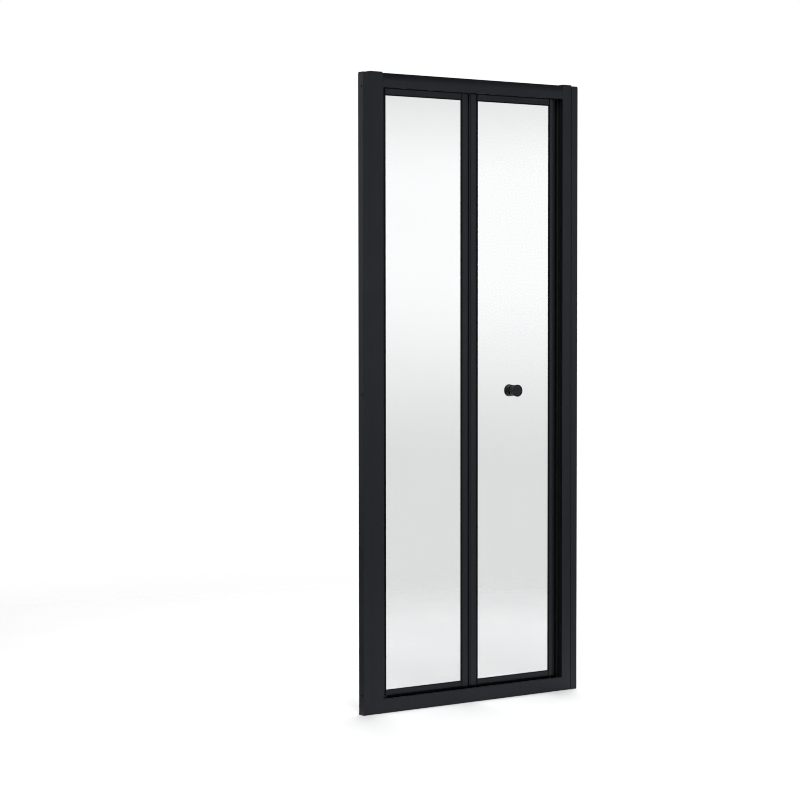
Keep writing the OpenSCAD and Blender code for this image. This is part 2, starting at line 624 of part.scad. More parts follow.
module folding_leaf_corner_screws() { place() { corner_screws(b0, 1, stile_w); corner_screws(b1, -1, stile_w); } }
module guide_pins() {
  color(c_steel) place() {
    translate([sx, py, 0]) rotate_extrude() polygon([[0, tr_z0 + 4], [pin_r, tr_z0 + 4], [pin_r, ht_z1 - 4.8],
      [pin_r - 0.5, ht_z1 - 4.3], [0, ht_z1 - 4.3]]);
    translate([sx, py, 0]) rotate_extrude() polygon([[0, st_z0 + 3.5], [pin_r - 0.5, st_z0 + 3.5], [pin_r, st_z0 + 4],
      [pin_r, br_z1 - 1], [0, br_z1 - 1]]);
  }
}
module folding_leaf_drip_seal() { color(c_rubber) place() drip(b0 + 0.5, b1 - 1); }
module closing_magnet_seal() {
  color(c_rubber) place() ez(seal_z0, frame_h - header_h - 0.8) rr(b1, py - 4, b1 + 3.4, py + 4, 0, 0.6, 0.6, 0);
}

// ---------- centre hinge ----------
function hinge_screw_z() = [for (i = [0:knuckles - 1]) hg_z0 + (i + 0.5) * hg_step];
// half of the hinge, s = 0 on the hinge axis and growing towards the stile; first = index of its first knuckle
module hinge_half(first) {
  difference() {
    union() {
      ez(hg_z0, hg_z1) translate([2, hy + 3.2]) square([centre_gap / 2 - 2, lb - hy - 5.2]);
      for (i = [first:2:knuckles - 1]) ez(hg_z0 + i * hg_step + 0.2, hg_z0 + (i + 1) * hg_step - 0.2) {
        circle_at(0, hy, barrel_r);
        translate([0, hy + 1.6]) square([centre_gap / 2, 1.3]);
        translate([2, hy + 1.6]) square([centre_gap / 2 - 2, 3]);
      }
    }
    cz(0, hy, hg_z0 - 1, hg_z1 + 1, 1.55);
    for (z = hinge_screw_z()) translate([2, hs_y, z]) rotate([0, -90, 0]) csk_hole(1.4, 10, 2.2);
  }
}
module circle_at(x, y, r) { translate([x, y]) circle(r = r); }
module hinge_screw_row() {
  for (z = hinge_screw_z()) translate([2, hs_y, z]) rotate([0, -90, 0]) csk_screw(1.4, 9, 2.15);
}
module hinge_leaf_pivot_side() { color(c_cap) place() translate([hx, 0, 0]) mirror([1, 0, 0]) hinge_half(0); }
module hinge_leaf_folding_side() { color(c_cap) place() translate([hx, 0, 0]) hinge_half(1); }
module hinge_screws_pivot_side() { place() translate([hx, 0, 0]) mirror([1, 0, 0]) hinge_screw_row(); }
module hinge_screws_folding_side() { place() translate([hx, 0, 0]) hinge_screw_row(); }
module hinge_pin() {
  color(c_steel) place() translate([hx, hy, 0]) rotate_extrude()
    polygon([[0, hg_z0 - 1.6], [2, hg_z0 - 1.6], [2.4, hg_z0 - 1.2], [2.4, hg_z0 - 0.2], [1.5, hg_z0 - 0.2],
      [1.5, hg_z1 + 0.2], [2.4, hg_z1 + 0.2], [2.4, hg_z1 + 1.2], [2, hg_z1 + 1.6], [0, hg_z1 + 1.6]]);
}
module centre_gap_seal() {
  color(c_rubber) place() {
    ez(stile_z0, stile_z1) translate([hx - 2, hy + 5.1]) square([1.6, 5]);
    ez(seal_z0, stile_z1) circle_at(hx - 0.05, hy + 7.6, 1.75);
  }
}

// ---------- knob ----------
// half knob along +z from the flange's face at z = 0 to the glass side
module knob_half() {
  difference() {
    rotate_extrude($fn = 96) polygon(concat(
      [[0, 0.7], [7, 0.6], [12.6, 0.5], [13.2, 0.15], [13.8, 0]],
      [for (a = [0:15:90]) [knob_r - 1 + sin(a), 1 - cos(a)]],
      [for (a = [0:15:90]) [knob_r - 0.8 + 0.8 * cos(a), 3.7 + 0.8 * sin(a)]],
      [for (i = [1:8]) [knob_neck_r + (knob_r - 0.8 - knob_neck_r) * pow(1 - i / 8, 3), 4.5 + i * 0.35]],
      [[knob_neck_r, knob_l - 1.2]],
      [for (a = [0:30:90]) [knob_neck_r - 0.8 + 0.8 * cos(a), knob_l - 0.8 + 0.8 * sin(a)]],
      [[0, knob_l]]));
    translate([0, 0, knob_l - 14]) cylinder(h = 20, r = 3.05);
  }
}
module knob_outer() { color(c_frame) place() translate([kx, gy0 - 1 - knob_l, kz]) rotate([-90, 0, 0]) knob_half(); }
module knob_inner() { color(c_frame) place() translate([kx, gy1 + 1 + knob_l, kz]) rotate([90, 0, 0]) knob_half(); }
module knob_bush() {
  difference() {
    union() { cylinder(h = 1, r = 12); translate([0, 0, 0.5]) cylinder(h = 2.95, r = 5.9); }
    translate([0, 0, -1]) cylinder(h = 6, r = 3.05);
  }
}
module knob_bushes() {
  color(c_rubber) place() {
    translate([kx, gy0 - 1, kz]) rotate([-90, 0, 0]) knob_bush();
    translate([kx, gy1 + 1, kz]) rotate([90, 0, 0]) knob_bush();
  }
}
module knob_stud() { color(c_steel) place() cy(kx, gy0 - 13, gy1 + 13, kz, 3); }

// ---------- guides ----------
// The carriage hangs behind the guide pin, with two rollers between the track's walls.
module top_guide_carriage() {
  color([0.82, 0.82, 0.78]) place() difference() {
    union() {
      ez(ht_z0 + 10, ht_z0 + 14) rr(sx - 38, py - 6, sx + 9, py + 6, 3, 5, 5, 3);
      cz(sx, py, ht_z0 + 2.2, ht_z0 + 10.5, 6);
      for (d = roller_d) cz(sx - d, py, ht_z0 + 9, ht_z0 + 10.5, 3.6);
    }
    cz(sx, py, ht_z0, ht_z1, pin_r + 0.05);
    for (d = roller_d) cz(sx - d, py, ht_z0 + 8, ht_z1, 2.02);
  }
}
module top_guide_axles() {
  color(c_steel) place() for (d = roller_d) translate([sx - d, py, 0]) rotate_extrude()
    polygon([[0, ht_z0 + 2], [3.1, ht_z0 + 2], [3.1, ht_z0 + 2.9], [2, ht_z0 + 2.9], [2, ht_z0 + 14.8], [1.6, ht_z0 + 15.2], [0, ht_z0 + 15.2]]);
}
module roller(d) {
  color([0.88, 0.88, 0.85]) place() translate([sx - d, py, 0]) rotate_extrude()
    polygon([[2.05, ht_z0 + 3.2], [4.2, ht_z0 + 3.2], [4.6, ht_z0 + 3.7], [6, ht_z0 + 3.7], [6.4, ht_z0 + 3.2], [roller_r - 0.5, ht_z0 + 3.2],
      [roller_r, ht_z0 + 3.7], [roller_r, ht_z0 + 8.1], [roller_r - 0.5, ht_z0 + 8.6], [6.4, ht_z0 + 8.6], [6, ht_z0 + 8.1],
      [4.6, ht_z0 + 8.1], [4.2, ht_z0 + 8.6], [2.05, ht_z0 + 8.6]]);
}
module top_guide_roller_left() { roller(roller_d[1]); }
module top_guide_roller_right() { roller(roller_d[0]); }
module bottom_guide_shoe() {
  color([0.82, 0.82, 0.78]) place() difference() {
    ez(st_z0 + 3, st_z1 - 3) rr(sx - 20, py - 7.2, sx + 10, py + 7.2, 4, 4, 4, 4);
    cz(sx, py, 0, st_z1, pin_r + 0.05);
    // grooves that keep the shoe's sides from wiping the track dry
    for (x = [sx - 15, sx - 10]) for (y = [py - 7.8, py + 6.2]) bx(x, x + 2, y, y + 1.6, 0, st_z1);
  }
}

wall_channel_left();
wall_channel_right();
jamb_left();
jamb_right();
header_rail();
sill_rail();
channel_caps();
jamb_caps();
header_track();
sill_track();
track_screws();
track_end_stops();
top_pivot_bracket();
bottom_pivot_bracket();
pivot_bushes();
pivot_bracket_screws();
frame_corner_screws();
jamb_fixing_screws();
screw_covers();
pivot_jamb_seal();
closing_jamb_seal();
pivot_stile();
pivot_leaf_centre_stile();
pivot_leaf_top_rail();
pivot_leaf_bottom_rail();
pivot_leaf_glass();
pivot_leaf_gasket();
pivot_leaf_corner_blocks();
pivot_leaf_corner_screws();
pivot_pins();
pivot_leaf_drip_seal();
hinge_leaf_pivot_side();
hinge_pin();
hinge_screws_pivot_side();
centre_gap_seal();
folding_leaf_centre_stile();
closing_stile();
folding_leaf_top_rail();
folding_leaf_bottom_rail();
folding_leaf_glass();
folding_leaf_gasket();
folding_leaf_corner_blocks();
folding_leaf_corner_screws();
guide_pins();
folding_leaf_drip_seal();
closing_magnet_seal();
hinge_leaf_folding_side();
hinge_screws_folding_side();
knob_outer();
knob_inner();
knob_bushes();
knob_stud();
top_guide_carriage();
top_guide_axles();
top_guide_roller_left();
top_guide_roller_right();
bottom_guide_shoe();
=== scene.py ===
import json
import math

import bmesh
import bpy
from mathutils import Matrix, Quaternion, Vector


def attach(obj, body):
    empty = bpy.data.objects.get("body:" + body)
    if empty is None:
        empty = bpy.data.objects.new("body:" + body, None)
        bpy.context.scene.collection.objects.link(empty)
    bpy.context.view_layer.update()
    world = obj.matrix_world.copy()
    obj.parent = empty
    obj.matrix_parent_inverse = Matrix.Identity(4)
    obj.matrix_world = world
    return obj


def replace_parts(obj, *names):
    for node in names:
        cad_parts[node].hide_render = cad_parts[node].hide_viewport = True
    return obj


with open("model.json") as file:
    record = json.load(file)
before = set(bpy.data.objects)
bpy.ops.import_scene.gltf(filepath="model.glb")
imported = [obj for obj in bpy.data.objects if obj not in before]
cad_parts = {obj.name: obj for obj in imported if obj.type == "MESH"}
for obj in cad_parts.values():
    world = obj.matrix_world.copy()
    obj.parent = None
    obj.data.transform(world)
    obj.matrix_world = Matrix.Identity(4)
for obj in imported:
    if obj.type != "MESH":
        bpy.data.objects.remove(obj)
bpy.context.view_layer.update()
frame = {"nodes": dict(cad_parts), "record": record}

# Bifold shower door: finishes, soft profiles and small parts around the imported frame.
# Sizes below are millimetres in the drawing's working frame (x = 0 at the left wall face,
# y = 0 at the frame's front, z = 0 under the sill) and at() turns them into the row frame.
FRAME_W, FRAME_D, FRAME_H = 800.0, 46.0, 1840.0
nodes = frame["nodes"]


def at(x, y, z):
    return Vector(((x - FRAME_W / 2) / 1000, (y - FRAME_D / 2) / 1000, z / 1000))


PY = 31.5          # middle of the leaves' thickness
PX, SX, HX, HY = 83.0, 721.0, 402.0, 24.5
A0, A1, B0, B1 = 75.0, 398.5, 405.5, 734.0
XI0, XI1 = 70.0, 741.0
TOP_Z, BOT_Z = 1803.0, 45.5
STILE_Z0, STILE_Z1 = BOT_Z + 1.5, TOP_Z - 1.5
TR_Z0, BR_Z1 = TOP_Z - 21, BOT_Z + 15
LF, LB = 24.0, 39.0            # front and back of the leaves
GY0, GY1 = LF + 1.8, LF + 6.8   # the glass
PK0, PK1 = LF + 1.2, LF + 8.0   # the glazing pocket
KX, KZ = (B0 + B1) / 2 + 1.4, FRAME_H / 2 + 0.4


# ---------------------------------------------------------------- materials
class Tree:
    """Small helper to build node trees."""

    def __init__(self, name):
        self.m = bpy.data.materials.new(name)
        self.m.use_nodes = True
        self.nt = self.m.node_tree
        self.p = self.nt.nodes["Principled BSDF"]
        self.out = self.nt.nodes["Material Output"]
        tc = self.nt.nodes.new("ShaderNodeTexCoord")
        self.obj = tc.outputs["Object"]

    def node(self, kind, **values):
        n = self.nt.nodes.new(kind)
        for k, v in values.items():
            setattr(n, k, v)
        return n

    def link(self, a, b):
        self.nt.links.new(a, b)

    def mapped(self, scale, source=None):
        n = self.node("ShaderNodeMapping")
        n.inputs["Scale"].default_value = scale
        self.link(source or self.obj, n.inputs["Vector"])
        return n.outputs[0]

    def noise(self, scale, detail=2.0, rough=0.5, distort=0.0, vector=None):
        n = self.node("ShaderNodeTexNoise")
        n.inputs["Scale"].default_value = scale
        n.inputs["Detail"].default_value = detail
        n.inputs["Roughness"].default_value = rough
        n.inputs["Distortion"].default_value = distort
        self.link(vector or self.obj, n.inputs["Vector"])
        return n.outputs["Fac"]

    def voronoi(self, scale, vector=None, feature="F1", smooth=None):
        n = self.node("ShaderNodeTexVoronoi", feature=feature)
        n.inputs["Scale"].default_value = scale
        if smooth is not None:
            n.inputs["Smoothness"].default_value = smooth
        self.link(vector or self.obj, n.inputs["Vector"])
        return n.outputs["Distance"]

    def span(self, source, lo, hi, a, b, smooth=False):
        n = self.node("ShaderNodeMapRange")
        n.interpolation_type = "SMOOTHSTEP" if smooth else "LINEAR"
        n.inputs["From Min"].default_value = lo
        n.inputs["From Max"].default_value = hi
        n.inputs["To Min"].default_value = a
        n.inputs["To Max"].default_value = b
        self.link(source, n.inputs["Value"])
        return n.outputs[0]

    def math(self, op, a, b=None, clamp=False):
        n = self.node("ShaderNodeMath", operation=op, use_clamp=clamp)
        for i, v in enumerate((a, b)):
            if v is None:
                continue
            if isinstance(v, (int, float)):
                n.inputs[i].default_value = v
            else:
                self.link(v, n.inputs[i])
        return n.outputs[0]

    def mix(self, fac, a, b):
        n = self.node("ShaderNodeMix", data_type="RGBA")
        if isinstance(fac, (int, float)):
            n.inputs[0].default_value = fac
        else:
            self.link(fac, n.inputs[0])
        for i, v in ((6, a), (7, b)):
            if isinstance(v, tuple):
                n.inputs[i].default_value = (*v, 1.0)
            else:
                self.link(v, n.inputs[i])
        return n.outputs[2]

    def bump(self, height, strength, distance, after=None):
        n = self.node("ShaderNodeBump")
        n.inputs["Strength"].default_value = strength
        n.inputs["Distance"].default_value = distance
        self.link(height, n.inputs["Height"])
        if after is not None:
            self.link(after, n.inputs["Normal"])
        return n.outputs[0]

    def colour(self, socket):
        self.link(socket, self.p.inputs["Base Color"])

    def rough(self, socket):
        self.link(socket, self.p.inputs["Roughness"])

    def normal(self, socket):
        self.link(socket, self.p.inputs["Normal"])


def powder_coat(name, dark, light, rough=0.5, spec=0.4, grain=1.0, tint=(0.84, 0.90, 1.0)):
    """Matt black powder coat: fine grain, a slow orange-peel wave and small changes of gloss."""
    t = Tree(name)
    slow = t.noise(9.0, 3.0, 0.55)
    fine = t.noise(1500.0, 2.0, 0.6)
    peel = t.noise(380.0, 1.5, 0.45)
    speck = t.voronoi(900.0)
    tone = t.math("ADD", t.math("MULTIPLY", slow, 0.6), t.math("MULTIPLY", fine, 0.4))
    t.colour(t.mix(t.span(tone, 0.35, 0.65, 0.0, 1.0), dark, light))
    gloss = t.math("ADD", t.span(slow, 0.3, 0.7, rough - 0.035, rough + 0.035), t.span(fine, 0.25, 0.75, -0.05, 0.05))
    t.rough(gloss)
    height = t.math("ADD", t.math("MULTIPLY", fine, 0.5), t.math("MULTIPLY", t.span(speck, 0.0, 0.6, 1.0, 0.0), 0.3))
    n1 = t.bump(height, 0.16 * grain, 0.00012)
    n2 = t.bump(peel, 0.05 * grain, 0.0004, n1)
    t.normal(n2)
    t.p.inputs["Specular IOR Level"].default_value = spec
    t.p.inputs["Specular Tint"].default_value = (*tint, 1.0)
    return t.m


def rubber(name, tone=0.002, rough=0.6, spec=0.07):
    """Extruded rubber: dull, with a fine grain and a little bloom."""
    t = Tree(name)
    bloom = t.noise(45.0, 4.0, 0.6)
    grain = t.noise(2600.0, 2.0, 0.6)
    t.colour(t.mix(t.span(bloom, 0.35, 0.75, 0.0, 1.0), (tone, tone, tone * 1.05), (tone * 2.1, tone * 2.1, tone * 2.2)))
    t.rough(t.span(bloom, 0.3, 0.7, rough - 0.08, rough + 0.08))
    t.normal(t.bump(grain, 0.12, 0.00012))
    t.p.inputs["Specular IOR Level"].default_value = spec
    return t.m


def moulded(name, dark, light, rough=0.5, spec=0.45, vdi=1.0):
    """Moulded plastic with a fine spark-eroded grain."""
    t = Tree(name)
    slow = t.noise(60.0, 2.0, 0.5)
    vor = t.voronoi(1700.0)
    fine = t.noise(2400.0, 2.0, 0.5)
    t.colour(t.mix(t.span(slow, 0.3, 0.7, 0.0, 1.0), dark, light))
    t.rough(t.math("ADD", t.span(slow, 0.3, 0.7, rough - 0.04, rough + 0.04), t.span(fine, 0.3, 0.7, -0.04, 0.04)))
    t.normal(t.bump(t.math("ADD", vor, t.math("MULTIPLY", fine, 0.5)), 0.14 * vdi, 0.0001))
    t.p.inputs["Specular IOR Level"].default_value = spec
    return t.m


def turned_steel(name, colour=(0.56, 0.565, 0.57), rough=0.26, axis="Z"):
    """Turned or drawn steel: fine rings round the axis."""
    t = Tree(name)
    scale = {"Z": (60.0, 60.0, 5200.0), "Y": (60.0, 5200.0, 60.0), "X": (5200.0, 60.0, 60.0)}[axis]
    rings = t.noise(1.0, 3.0, 0.6, vector=t.mapped(scale))
    slow = t.noise(90.0, 3.0, 0.5)
    t.colour(t.mix(t.span(slow, 0.3, 0.7, 0.0, 1.0), tuple(c * 0.9 for c in colour), colour))
    t.rough(t.math("ADD", t.span(rings, 0.3, 0.7, rough - 0.07, rough + 0.09), t.span(slow, 0.3, 0.7, -0.02, 0.03)))
    t.normal(t.bump(rings, 0.1, 0.00006))
    t.p.inputs["Metallic"].default_value = 1.0
    return t.m


def black_screw(name):
    """Blackened stainless: dark metal with a slightly mottled oxide."""
    t = Tree(name)
    mottle = t.noise(900.0, 3.0, 0.6)
    t.colour(t.mix(t.span(mottle, 0.35, 0.7, 0.0, 1.0), (0.020, 0.020, 0.022), (0.048, 0.048, 0.05)))
    t.rough(t.span(mottle, 0.3, 0.7, 0.32, 0.46))
    t.normal(t.bump(mottle, 0.08, 0.0001))
    t.p.inputs["Metallic"].default_value = 0.75
    return t.m


def safety_glass(name):
    """Clear toughened glass: a faint roller wave and a barely uneven surface. Lamps shine through it."""
    t = Tree(name)
    wave = t.noise(1.0, 1.0, 0.4, vector=t.mapped((2.2, 2.2, 9.0)))
    film = t.noise(7.0, 4.0, 0.6)
    t.rough(t.span(film, 0.45, 0.8, 0.0, 0.008))
    t.normal(t.bump(wave, 0.06, 0.0012))
    t.colour(t.mix(t.span(film, 0.3, 0.7, 0.0, 1.0), GLASS_TINT[0], GLASS_TINT[1]))
    t.p.inputs["Transmission Weight"].default_value = 1.0
    t.p.inputs["IOR"].default_value = 1.6
    t.p.inputs["Specular IOR Level"].default_value = 0.5
    clear = t.node("ShaderNodeBsdfTransparent")
    clear.inputs["Color"].default_value = (0.86, 0.88, 0.875, 1.0)
    path = t.node("ShaderNodeLightPath")
    mix = t.node("ShaderNodeMixShader")
    t.link(path.outputs["Is Shadow Ray"], mix.inputs[0])
    t.link(t.p.outputs[0], mix.inputs[1])
    t.link(clear.outputs[0], mix.inputs[2])
    t.link(mix.outputs[0], t.out.inputs["Surface"])
    return t.m


GLASS_TINT = ((0.752, 0.758, 0.760), (0.760, 0.766, 0.768))
BLACK_A, BLACK_B = (0.0024, 0.0029, 0.0039), (0.0041, 0.0048, 0.0062)
look = {
    "frame_black": powder_coat("powder_coat_frame", BLACK_A, BLACK_B, 0.38, 0.225),
    "leaf_black": powder_coat("powder_coat_leaves", BLACK_A, BLACK_B, 0.36, 0.225),
    "knob_black": powder_coat("powder_coat_knob", (0.003, 0.0032, 0.0036), (0.005, 0.0052, 0.0058), 0.34, 0.2, 0.7),
    "cap_black": moulded("moulded_caps", (0.0035, 0.0036, 0.004), (0.006, 0.0062, 0.0066), 0.46, 0.2),
    "nylon_black": moulded("moulded_black_nylon", (0.004, 0.004, 0.0042), (0.007, 0.007, 0.0072), 0.46, 0.25),
    "nylon_white": moulded("moulded_pale_acetal", (0.66, 0.65, 0.60), (0.74, 0.73, 0.69), 0.36, 0.5, 0.6),
    "rubber_black": rubber("extruded_rubber"),
    "steel": turned_steel("turned_steel"),
    "screw_black": black_screw("blackened_steel"),
    "glass_clear": safety_glass("toughened_glass"),
}
slot_of = {s["node"]: s["material_slot"] for s in frame["record"]["subparts"]}
look_of = {
    "closing_jamb_seal": rubber("satin_sealing_strip", 0.003, 0.42, 0.15),
    "closing_stile": powder_coat("powder_coat_closing_stile_painted_sheen", BLACK_A, BLACK_B, 0.36, 0.29),    # painted sheen: stronger reflection than the leaf coat, to lighten the stile where the jamb shades it
    "hinge_pin": look["screw_black"],                                                           # blackened rod
}
for name, o in nodes.items():
    o.data.materials.clear()
    o.data.materials.append(look_of.get(name) or look[slot_of[name]])


# ---------------------------------------------------------------- piece helpers
def piece(name, body, slot, bm=None, smooth_deg=35.0, mats=None):
    me = bpy.data.meshes.new(name)
    if bm is not None:
        bmesh.ops.recalc_face_normals(bm, faces=bm.faces)
        bm.to_mesh(me)
        bm.free()
    o = bpy.data.objects.new(name, me)
    bpy.context.scene.collection.objects.link(o)
    for m in mats or [look[slot]]:
        me.materials.append(m)
    for f in me.polygons:
        f.use_smooth = True
    me.set_sharp_from_angle(angle=math.radians(smooth_deg))
    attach(o, body)
    return o


def extruded(name, body, slot, outline, z0, z1, mat=None):
    """Profile in plan raised from z0 to z1, with its ends eased by a small step. Points in millimetres."""
    cx = sum(p[0] for p in outline) / len(outline)
    cy = sum(p[1] for p in outline) / len(outline)
    bm = bmesh.new()
    rings = []
    for z, k in ((z0, 0.94), (z0 + 0.4, 1.0), (z1 - 0.4, 1.0), (z1, 0.94)):
        rings.append([bm.verts.new(at(cx + (x - cx) * k, cy + (y - cy) * k, z)) for x, y in outline])
    n = len(outline)
    for lower, upper in zip(rings, rings[1:]):
        for i in range(n):
            bm.faces.new((lower[i], lower[(i + 1) % n], upper[(i + 1) % n], upper[i]))
    bm.faces.new(list(reversed(rings[0])))
    bm.faces.new(rings[-1])
    bmesh.ops.triangulate(bm, faces=[f for f in bm.faces if len(f.verts) > 4])
    return piece(name, body, slot, bm, 40.0, [mat] if mat else None)


def smooth_closed(points, steps=4):
    """Closed curve through the points."""
    out, n = [], len(points)
    for i in range(n):
        p0, p1, p2, p3 = (points[(i + k) % n] for k in (-1, 0, 1, 2))
        for s in range(steps):
            t = s / steps
            out.append(tuple(0.5 * (2 * b + (c - a) * t + (2 * a - 5 * b + 4 * c - d) * t * t + (3 * b - a - 3 * c + d) * t ** 3)
                             for a, b, c, d in zip(p0, p1, p2, p3)))
    return out


# wiper on the pivot side jamb: its blade stands in front of the stile's edge and clear of its swing
wiper = [(-0.6, 29.6), (-0.2, 29.8), (0.5, 29.7), (1.0, 29.2), (1.1, 27.0), (1.0, 24.6), (1.1, 22.9), (1.9, 22.1), (3.4, 21.7),
         (5.2, 21.5), (6.6, 21.2), (7.1, 20.8), (7.0, 20.4), (6.4, 20.3), (4.6, 20.5), (2.6, 20.7), (1.1, 20.9), (0.2, 21.1),
         (-0.4, 21.2), (-0.6, 21.6), (-0.6, 25.5)]
o = extruded("pivot_jamb_wiper", "frame", "rubber_black", [(XI0 + x, y) for x, y in smooth_closed(wiper)], STILE_Z0, 1798.7)
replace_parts(o, "pivot_jamb_seal")
def swept(name, body, slot, outline, x0, x1):
    """Profile in (y, z) drawn along X, with its ends eased."""
    cy = sum(p[0] for p in outline) / len(outline)
    cz = sum(p[1] for p in outline) / len(outline)
    bm = bmesh.new()
    rings = []
    for x, k in ((x0, 0.92), (x0 + 0.3, 1.0), (x1 - 0.3, 1.0), (x1, 0.92)):
        rings.append([bm.verts.new(at(x, cy + (y - cy) * k, cz + (z - cz) * k)) for y, z in outline])
    n = len(outline)
    for lower, upper in zip(rings, rings[1:]):
        for i in range(n):
            bm.faces.new((lower[i], lower[(i + 1) % n], upper[(i + 1) % n], upper[i]))
    bm.faces.new(list(reversed(rings[0])))
    bm.faces.new(rings[-1])
    bmesh.ops.triangulate(bm, faces=[f for f in bm.faces if len(f.verts) > 4])
    return piece(name, body, slot, bm, 40.0)


# drip seals under the bottom rails: a flat foot and a thin blade that curves back, up to the hinge's middle
blade = [(25.5, 45.4), (25.45, 44.9), (25.5, 44.5), (25.8, 44.2), (25.95, 43.2), (26.0, 42.0), (26.1, 40.8), (26.35, 39.6), (26.7, 38.6), (27.0, 38.15),
         (27.3, 38.2), (27.4, 38.5), (27.15, 39.3), (26.85, 40.4), (26.7, 41.6), (26.7, 42.8), (26.9, 43.9), (27.6, 44.25), (28.1, 44.5), (28.2, 44.9), (28.15, 45.4)]
for name, body, x0, x1, old in (("pivot_leaf_drip_blade", "pivot_leaf", PX + 8, HX - 0.15, "pivot_leaf_drip_seal"),
                                ("folding_leaf_drip_blade", "folding_leaf", HX + 0.15, B1 - 1, "folding_leaf_drip_seal")):
    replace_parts(swept(name, body, "rubber_black", blade, x0, x1), old)
# end plugs of the hinge gap: one on each leaf, between the blades and the hinge's lower end
for name, body, x0, x1 in (("pivot_leaf_hinge_plug", "pivot_leaf", HX - 3.5, HX - 0.1), ("folding_leaf_hinge_plug", "folding_leaf", HX + 0.1, HX + 3.5)):
    plug = [(x0, 27.5), (x0, 29.0), (x0 + 0.3, 29.3), (x1 - 0.3, 29.3), (x1, 29.0), (x1, 27.5), (x1 - 0.3, 27.2), (x0 + 0.3, 27.2)]
    extruded(name, body, "rubber_black", plug, 45.4, 49.4)
# magnetic strip on the closing edge: flat back, rounded nose with a shallow hollow
nose = [(0.0, 27.6), (0.0, 29.0), (0.0, 31.5), (0.0, 34.0), (0.0, 35.4), (1.2, 35.5), (2.6, 35.4), (3.6, 35.0), (4.1, 34.2), (4.15, 33.2),
        (3.9, 32.3), (3.8, 31.5), (3.9, 30.7), (4.15, 29.8), (4.1, 28.8), (3.6, 28.0), (2.6, 27.6), (1.2, 27.5)]
o = extruded("closing_magnet_strip", "folding_leaf", "rubber_black", [(B1 + x, y) for x, y in nose], 38.5, 1798.2)
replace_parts(o, "closing_magnet_seal")


# ---------------------------------------------------------------- floor, light, camera
def stage_floor():
    bm = bmesh.new()
    rings, seg, radius = 24, 96, 7.0
    centre = bm.verts.new((0, 0, 0))
    prev = None
    for i in range(1, rings + 1):
        r = radius * (i / rings) ** 1.5
        cur = [bm.verts.new((r * math.cos(2 * math.pi * k / seg), r * math.sin(2 * math.pi * k / seg), 0)) for k in range(seg)]
        for k in range(seg):
            if prev is None:
                bm.faces.new((centre, cur[k], cur[(k + 1) % seg]))
            else:
                bm.faces.new((prev[k], cur[k], cur[(k + 1) % seg], prev[(k + 1) % seg]))
        prev = cur
    me = bpy.data.meshes.new("studio_floor")
    bm.to_mesh(me)
    bm.free()
    o = bpy.data.objects.new("studio_floor", me)
    bpy.context.scene.collection.objects.link(o)
    t = Tree("studio_floor")
    slow = t.noise(3.0, 3.0, 0.5)
    fine = t.noise(240.0, 2.0, 0.5)
    pale = t.mix(t.span(slow, 0.3, 0.7, 0.0, 1.0), (0.86, 0.86, 0.865), (0.885, 0.885, 0.89))
    # painted reflection: only in reflections, the floor is painted pale in front of the door, palest at its foot, and
    # painted dark behind it, to set the light and shade that the door reflects
    sep = t.node("ShaderNodeSeparateXYZ")
    t.link(t.obj, sep.inputs[0])
    ahead = t.math("MULTIPLY", sep.outputs["Y"], -1.0)
    near = t.mix(t.span(ahead, 0.05, 0.60, 0.0, 1.0, smooth=True), (FLOOR_FOOT,) * 3, (FLOOR_FRONT,) * 3)
    painted_shade_behind = t.mix(t.span(sep.outputs["X"], -0.52, -0.36, 0.0, 1.0, smooth=True), (FLOOR_LEFT,) * 3, (FLOOR_BACK,) * 3)
    seen = t.mix(t.span(ahead, -0.06, 0.04, 0.0, 1.0, smooth=True), painted_shade_behind, near)
    path = t.node("ShaderNodeLightPath")
    mirrored = t.math("MULTIPLY", path.outputs["Is Glossy Ray"], t.math("SUBTRACT", 1.0, path.outputs["Is Transmission Ray"]))
    t.colour(t.mix(mirrored, pale, seen))
    t.rough(t.span(fine, 0.3, 0.7, 0.62, 0.72))
    t.p.inputs["Specular IOR Level"].default_value = 0.1
    # the floor runs out into the plain backdrop
    d = t.node("ShaderNodeVectorMath", operation="LENGTH")
    t.link(t.obj, d.inputs[0])
    away = t.span(d.outputs["Value"], 1.1, 3.6, 0.0, 1.0, smooth=True)
    clear = t.node("ShaderNodeBsdfTransparent")
    mix = t.node("ShaderNodeMixShader")
    t.link(away, mix.inputs[0])
    t.link(t.p.outputs[0], mix.inputs[1])
    t.link(clear.outputs[0], mix.inputs[2])
    t.link(mix.outputs[0], t.out.inputs["Surface"])
    me.materials.append(t.m)
    return o


